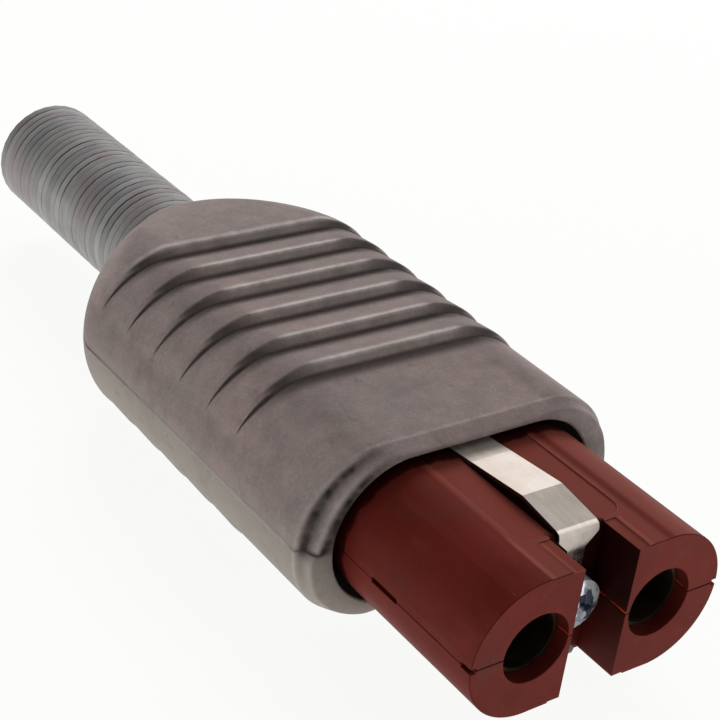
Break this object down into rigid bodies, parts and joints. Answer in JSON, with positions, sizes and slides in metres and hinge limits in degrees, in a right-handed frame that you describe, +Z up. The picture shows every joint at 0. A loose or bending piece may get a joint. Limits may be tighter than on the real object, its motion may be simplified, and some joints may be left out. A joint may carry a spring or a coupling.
{
  "type": "silicone power plug",
  "caption": "Heat-resistant cord connector: ribbed silicone grip sleeve over a lobed socket block with round pin contacts, earth spring leaves and a wire-coil cord guard.",
  "frame": {"origin": "middle of the part's box in X and Y, at its lowest level, where the ribbed underside stands", "axes": "+Y along the plug from the sockets to the cord's entry, +Z up through the ribbed top, +X across the two sockets"},
  "size_m": [0.0488, 0.1438, 0.0272],
  "materials": {
    "sleeve_silicone": "matte, finely mottled grey silicone",
    "spring_steel": "drawn steel wire",
    "insulator_red": "satin red-brown moulding compound",
    "contact_brass": "turned",
    "strip_nickel": "bright nickel plate",
    "screw_zinc": "blue-bright zinc plate",
    "screw_steel": "plated steel",
    "clamp_steel": "pressed and plated"
  },
  "bodies": {
    "root": {"grip_sleeve": "sleeve_silicone", "cable_spring": "spring_steel", "upper_insulator": "insulator_red", "lower_insulator": "insulator_red", "left_contact": "contact_brass", "right_contact": "contact_brass", "left_terminal_screw": "screw_steel", "right_terminal_screw": "screw_steel", "earth_spring": "strip_nickel", "earth_screw": "screw_zinc", "earth_terminal": "contact_brass", "earth_terminal_screw": "screw_steel", "joining_screw": "screw_steel", "joining_nut": "screw_steel", "cord_clamp": "clamp_steel", "clamp_screws": "screw_steel"}
  },
  "joints": []
}
